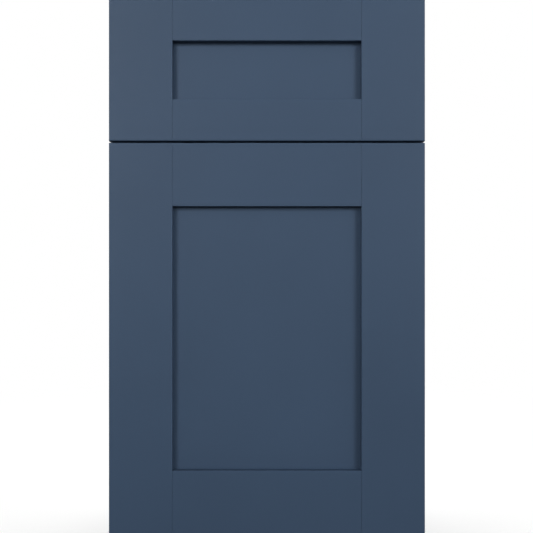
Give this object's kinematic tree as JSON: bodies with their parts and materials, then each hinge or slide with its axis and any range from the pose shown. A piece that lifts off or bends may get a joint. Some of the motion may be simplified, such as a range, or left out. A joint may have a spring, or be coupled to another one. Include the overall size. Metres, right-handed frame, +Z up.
{
  "type": "vanity cabinet",
  "caption": "Narrow floor-standing bathroom vanity cabinet with a framed-panel drawer front over a matching framed-panel door, slate-blue paint, frameless box on a recessed toe kick.",
  "frame": {"origin": "on the floor, under the middle of the cabinet's width and depth", "axes": "+Z up, +X to the right as seen from the front, fronts face -Y"},
  "size_m": [0.378, 0.533, 0.762],
  "materials": {
    "front_paint": "satin slate-blue paint on hardwood frames and a flat panel",
    "carcass_paint": "satin slate-blue paint on board",
    "birch_ply": "clear-lacquered birch plywood",
    "beech": "unfinished fluted beech dowel",
    "zinc_steel": "bright zinc plate",
    "nickel_steel": "satin nickel plate",
    "ball_steel": "polished hardened steel",
    "pad_rubber": "soft clear grey pad"
  },
  "bodies": {
    "cabinet": {"left_side_panel": "carcass_paint", "right_side_panel": "carcass_paint", "bottom_panel": "birch_ply", "top_front_stretcher": "carcass_paint", "top_rear_stretcher": "birch_ply", "mid_rail": "carcass_paint", "toe_kick_board": "carcass_paint", "upper_hanging_rail": "birch_ply", "lower_hanging_rail": "birch_ply", "back_panel": "birch_ply", "carcass_dowels": "beech", "adjustable_shelf": "birch_ply", "shelf_pins": "nickel_steel", "left_slide_outer_member": "zinc_steel", "right_slide_outer_member": "zinc_steel", "outer_slide_screws": "zinc_steel", "upper_hinge_plate": "nickel_steel", "lower_hinge_plate": "nickel_steel", "upper_hinge_arm": "nickel_steel", "lower_hinge_arm": "nickel_steel", "hinge_plate_screws": "zinc_steel", "hinge_arm_screws": "zinc_steel", "arm_pins": "nickel_steel"},
    "drawer": {"drawer_front_left_stile": "front_paint", "drawer_front_right_stile": "front_paint", "drawer_front_top_rail": "front_paint", "drawer_front_bottom_rail": "front_paint", "drawer_front_panel": "front_paint", "drawer_left_side": "birch_ply", "drawer_right_side": "birch_ply", "drawer_box_front": "birch_ply", "drawer_box_back": "birch_ply", "drawer_bottom": "birch_ply", "drawer_front_screws": "zinc_steel", "drawer_bumpers": "pad_rubber", "left_slide_inner_member": "zinc_steel", "right_slide_inner_member": "zinc_steel", "inner_slide_screws": "zinc_steel"},
    "slide_middles": {"left_slide_middle_member": "zinc_steel", "right_slide_middle_member": "zinc_steel"},
    "outer_cages": {"outer_ball_cages": "zinc_steel", "outer_slide_balls": "ball_steel"},
    "inner_cages": {"inner_ball_cages": "zinc_steel", "inner_slide_balls": "ball_steel"},
    "hinge_links": {"upper_hinge_link": "nickel_steel", "lower_hinge_link": "nickel_steel"},
    "door": {"door_left_stile": "front_paint", "door_right_stile": "front_paint", "door_top_rail": "front_paint", "door_bottom_rail": "front_paint", "door_panel": "front_paint", "upper_hinge_cup": "nickel_steel", "lower_hinge_cup": "nickel_steel", "cup_screws": "zinc_steel", "cup_pins": "nickel_steel", "door_bumpers": "pad_rubber"}
  },
  "joints": [
    {"name": "drawer_slide", "type": "slide", "parent": "cabinet", "child": "drawer", "axis": [0, -1, 0], "range_m": [0, 0.43]},
    {"name": "middle_member_slide", "type": "slide", "parent": "cabinet", "child": "slide_middles", "axis": [0, -1, 0], "range_m": [0, 0.215]},
    {"name": "outer_cage_slide", "type": "slide", "parent": "cabinet", "child": "outer_cages", "axis": [0, -1, 0], "range_m": [0, 0.1075]},
    {"name": "inner_cage_slide", "type": "slide", "parent": "cabinet", "child": "inner_cages", "axis": [0, -1, 0], "range_m": [0, 0.3225]},
    {"name": "hinge_link_swing", "type": "hinge", "parent": "cabinet", "child": "hinge_links", "pos_m": [-0.16, -0.2395, 0.351], "axis": [0, 0, 1], "range_deg": [0, 31.67]},
    {"name": "door_swing", "type": "hinge", "parent": "hinge_links", "child": "door", "pos_m": [-0.1804, -0.2553, 0.351], "axis": [0, 0, -1], "range_deg": [0, 126.67]}
  ],
  "couplings": [
    {"joint": "middle_member_slide", "follows": "drawer_slide", "ratio": 0.5},
    {"joint": "outer_cage_slide", "follows": "drawer_slide", "ratio": 0.25},
    {"joint": "inner_cage_slide", "follows": "drawer_slide", "ratio": 0.75},
    {"joint": "hinge_link_swing", "follows": "door_swing", "ratio": 0.25}
  ]
}
